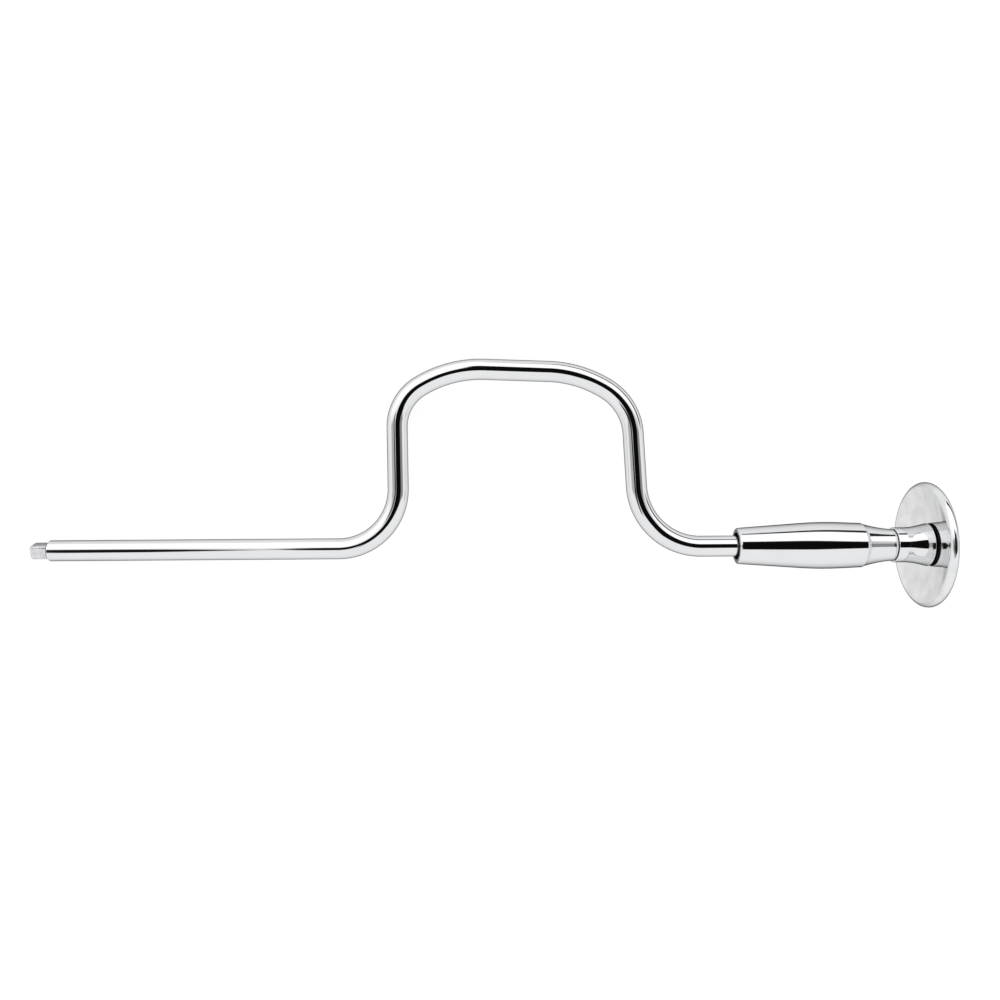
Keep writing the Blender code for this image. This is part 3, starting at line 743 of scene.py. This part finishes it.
def bar_chrome():
    """Bright plate with a faint drawn ripple, and a duller, mottled square drive."""
    material, place = finish("bar_chrome")
    along = place.parts()[0]
    on_bar = along.rises(DRIVE_LENGTH - BROKEN_EDGE, DRIVE_LENGTH + BROKEN_EDGE)
    cloud = place.noise(*BAR_CLOUD)
    speckle = place.noise(*BAR_SPECKLE)
    ripple = (cloud + BAR_SPECKLE_RELIEF * speckle).bump(PLATE_RELIEF)
    drive_colour = speckle.rises(*DRIVE_MOTTLE).tints(DRIVE_SHADE, DRIVE_LIGHT)
    # Both surfaces take a low edge grey, which paints dark outlines of shade round the drive and the bar.
    drive = place.metal(DRIVE_EDGE_PAINTED_SHADE, drive_colour, speckle.spans(*DRIVE_ROUGHNESS), ripple)
    bar_colour = cloud.tints(CHROME_SHADE, CHROME_LIGHT)
    bar = place.metal(PLATE_EDGE_PAINTED_SHADE, bar_colour, speckle.spans(*BAR_ROUGHNESS), ripple)
    return cover(material, on_bar.joins(drive, bar))


def turned_chrome():
    """Bright plate over fine turning lines on grip and hub, with painted shade that darkens the bore and
    the undercut to near black.
    """
    material, place = finish("turned_chrome")
    along = place.parts()[0]
    radius = place.stretched((0.0, 1.0, 1.0)).length()
    # Painted shade: the bore, the spigot inside it and the hub's undercut are darkened to near black, as if
    # in shadow
    in_mouth = 1 - radius.rises(MOUTH_RADIUS, MOUTH_RADIUS + BROKEN_EDGE)
    in_sleeve = in_mouth * (1 - along.rises(SLEEVE_REAR_X, HUB_X))
    below_rim = 1 - radius.rises(HUB_RADIUS - HUB_EDGE_RADIUS, HUB_RADIUS)
    painted_recess_shade = in_sleeve + below_rim * along.rises(HUB_UNDERCUT_X - BROKEN_EDGE, HUB_UNDERCUT_X)
    cloud = place.noise(*GRIP_CLOUD)
    lines = place.stretched(GRIP_LINES_STRETCH).noise(*GRIP_LINES)
    colour = painted_recess_shade.blends(cloud.tints(CHROME_SHADE, CHROME_LIGHT), (*RECESS_PAINTED_SHADE_COLOUR, 1.0))
    roughness = lines.spans(*GRIP_ROUGHNESS) + RECESS_PAINTED_SHADE_ROUGHNESS * painted_recess_shade
    ripple = (cloud + GRIP_LINES_RELIEF * lines).bump(PLATE_RELIEF)
    return cover(material, place.metal(PLATE_EDGE_PAINTED_SHADE, colour, roughness, ripple))


def palm_chrome():
    """Plate over a brushed disc, with fine rings and soft mottling on its faces, and a brighter rim."""
    material, place = finish("palm_chrome")
    radius = place.stretched((0.0, 1.0, 1.0)).length()
    on_rim = radius.rises(PALM_FACE_RADIUS - BROKEN_EDGE, PALM_FACE_RADIUS)
    rings = radius.rings(*PALM_RINGS)
    mottle = place.noise(*PALM_MOTTLE).rises(*PALM_MOTTLE_RANGE)
    pattern = PALM_MOTTLE_SHARE * mottle + (1 - PALM_MOTTLE_SHARE) * rings
    brushed = (mottle + PALM_RINGS_RELIEF * rings).bump(PALM_RELIEF)
    face_roughness = mottle.spans(*PALM_ROUGHNESS) + PALM_RINGS_ROUGHNESS * rings
    face = place.metal(PALM_EDGE, pattern.tints(PALM_SHADE, PALM_LIGHT), face_roughness, brushed)
    rim_colour = mottle.tints(CHROME_SHADE, CHROME_LIGHT)
    # The rim's near-black edge grey paints a dark outline of shade round the disc.
    rim = place.metal(PLATE_EDGE_PAINTED_SHADE, rim_colour, mottle.spans(*RIM_ROUGHNESS), brushed)
    return cover(material, on_rim.joins(face, rim))


def bush_bronze():
    """Sintered bronze: warm metal with dark pores."""
    material, place = finish("bush_bronze")
    pores = place.noise(*BRONZE_PORES).rises(*BRONZE_PORES_RANGE)
    cloud = place.noise(*BRONZE_CLOUD)
    pattern = (1 - BRONZE_PORES_SHARE) * cloud + BRONZE_PORES_SHARE * pores
    colour = pattern.tints(BRONZE_SHADE, BRONZE_LIGHT)
    roughness = pores.spans(*BRONZE_ROUGHNESS)
    return cover(material, place.metal(PLAIN_EDGE, colour, roughness, pores.bump(BRONZE_RELIEF)))


def hard_steel():
    """Ground and hardened steel: grey, with fine grinding marks."""
    material, place = finish("hard_steel")
    marks = place.stretched(STEEL_MARKS_STRETCH).noise(*STEEL_MARKS)
    colour = place.noise(*STEEL_CLOUD).tints(STEEL_SHADE, STEEL_LIGHT)
    roughness = marks.spans(*STEEL_ROUGHNESS)
    return cover(material, place.metal(PLAIN_EDGE, colour, roughness, marks.bump(STEEL_RELIEF)))


def spring_steel():
    """Oiled spring steel: dark, with bluish temper colours."""
    material, place = finish("spring_steel")
    marks = place.noise(*SPRING_DRAW_MARKS)
    colour = place.noise(*SPRING_CLOUD).tints(SPRING_SHADE, SPRING_LIGHT)
    roughness = marks.spans(*SPRING_ROUGHNESS)
    return cover(material, place.metal(PLAIN_EDGE, colour, roughness, marks.bump(SPRING_RELIEF)))


def rest_plane():
    """A point and the upright of the plane that the brace lies on, by its drive arm, crown and disc."""
    bar = [vertex.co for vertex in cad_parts["crank_bar"].data.vertices]
    arm = [point for point in bar if point.x < DRIVE_ARM_LENGTH]
    crown = [point for point in bar if point.y > DRIVE_FOOT_RADIUS + DRIVE_LEG_LENGTH]
    disc = [vertex.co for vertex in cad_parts["palm_disc"].data.vertices]
    upright = Vector((0.0, 0.0, 1.0))
    for _ in range(REST_STEPS):
        on_arm, on_crown, on_disc = (min(points, key=upright.dot) for points in (arm, crown, disc))
        upright = (on_disc - on_arm).cross(on_crown - on_arm).normalized()
    return on_arm, upright


def floor_finish():
    """Pale matt floor, lifted to white where it is seen, with the brace's shadow kept."""
    material, place = finish("floor")
    seen = place.rays("Is Camera Ray")
    mirrored = place.rays("Is Glossy Ray") + place.rays("Is Transmission Ray")
    colour = place.noise(*FLOOR_GRAIN).tints(FLOOR_SHADE, FLOOR_LIGHT)
    surface = place.node("ShaderNodeBsdfDiffuse", {}, {"Color": colour})
    seen_glow = place.node("ShaderNodeEmission", {}, {"Strength": FLOOR_SEEN_GLOW})
    mirrored_glow = place.node("ShaderNodeEmission", {}, {"Strength": FLOOR_MIRRORED_GLOW})
    surface = (FLOOR_SEEN_SHARE * seen).joins(surface, seen_glow)
    return cover(material, (FLOOR_MIRRORED_SHARE * mirrored).joins(surface, mirrored_glow))


def make_floor(point, upright):
    shape = bmesh.new()
    lie = upright.to_track_quat("Z", "Y").to_matrix().to_4x4()
    place = Matrix.Translation(point - FLOOR_DROP * upright) @ lie
    bmesh.ops.create_grid(shape, x_segments=1, y_segments=1, size=FLOOR_SIZE, matrix=place)
    floor = piece_from("floor", shape)
    floor.data.materials.append(floor_finish())


def tent_opening(across, along, blur, corners):
    """1 inside an opening of the tent, given by its corners in turn."""
    inside = 1
    for start, end in zip(corners, corners[1:] + corners[:1]):
        edge = Vector(end) - Vector(start)
        inwards = Vector((-edge.y, edge.x)).normalized()
        depth = across * inwards.x + along * inwards.y - inwards.dot(Vector(start))
        inside = inside * depth.rises(-blur, blur)
    return inside


def make_tent(upright):
    """White light tent round the brace, brighter behind it, with dark openings; a camera sees it white."""
    world = bpy.data.worlds.new("tent")
    world.use_nodes = True
    tree = world.node_tree
    direction = Shade(tree, tree.nodes.new("ShaderNodeTexCoord").outputs["Generated"])
    x, y, z = direction.parts()
    across = x.towards(z)
    along = y.towards(z)
    tent = TENT_PLAIN + (TENT_BRIGHT - TENT_PLAIN) * y.rises(*TENT_TURN)
    for light, blur, corners in TENT_OPENINGS:
        tent = tent * (1 - (1 - light) * tent_opening(across, along, blur, corners))
    height = direction.dot(upright) - SLIT_GROWTH * x
    above_slit = height.rises(SLIT_TOP - SLIT_BLUR, SLIT_TOP + SLIT_BLUR)
    slit = (1 - above_slit) * x.rises(*SLIT_ENDS) * y.rises(*SLIT_TURN)
    tent = tent * (1 - (1 - SLIT_LIGHT) * slit)
    seen = direction.rays("Is Camera Ray")
    direction.feed(tree.nodes["Background"].inputs["Strength"], tent * (1 - seen) + seen)
    tree.nodes["Background"].inputs["Color"].default_value = (1.0, 1.0, 1.0, 1.0)
    bpy.context.scene.world = world


def make_camera():
    camera = bpy.data.objects.new("camera", bpy.data.cameras.new("camera"))
    camera.data.lens = CAMERA_LENS
    camera.data.clip_start = CAMERA_NEAR
    camera.location = CAMERA_PLACE
    camera.rotation_euler = (0.0, 0.0, math.radians(CAMERA_ROLL))
    bpy.context.scene.collection.objects.link(camera)
    bpy.context.scene.camera = camera


def make_brace():
    grip_finish = turned_chrome()
    bronze = bush_bronze()
    steel = hard_steel()
    spring_finish = spring_steel()
    stand_in(crank_bar(), "crank_bar", "crank", bar_chrome())
    stand_in(piece_from("grip", grip_sleeve()), "grip_sleeve", "handle", grip_finish)
    stand_in(piece_from("hub", neck_hub()), "neck_hub", "handle", grip_finish)
    stand_in(piece_from("palm", palm_disc()), "palm_disc", "handle", palm_chrome())
    for node in ("front_bush", "rear_bush"):
        bush = piece_from(f"{node}_fine", plain_ring(node, RUNNING_RADIUS))
        stand_in(bush, node, "handle", bronze)
    for node in ("thrust_washer", "retaining_washer"):
        washer = piece_from(f"{node}_fine", plain_ring(node, RUNNING_RADIUS))
        stand_in(washer, node, "handle", steel)
    stand_in(piece_from("snap_ring", snap_ring()), "retaining_ring", "crank", spring_finish)
    low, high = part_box("thrust_ball")
    end_ball = piece_from("end_ball", ball((low + high) / 2, high.x - low.x))
    stand_in(end_ball, "thrust_ball", "handle", steel)
    catch_centre = CATCH_FRAME @ Vector((CATCH_BALL_DEPTH, 0.0, 0.0))
    catch_ball = piece_from("catch_ball_fine", ball(catch_centre, CATCH_BALL_DIAMETER))
    stand_in(catch_ball, "detent_ball", "catch_ball", steel)
    spring = piece_from("catch_spring", catch_spring())
    stand_in(spring, "detent_spring", "crank", spring_finish)
    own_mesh(spring)


bpy.context.scene.view_settings.view_transform = "Standard"
rest_point, rest_upright = rest_plane()
make_camera()
make_tent(rest_upright)
make_floor(rest_point, rest_upright)
make_brace()
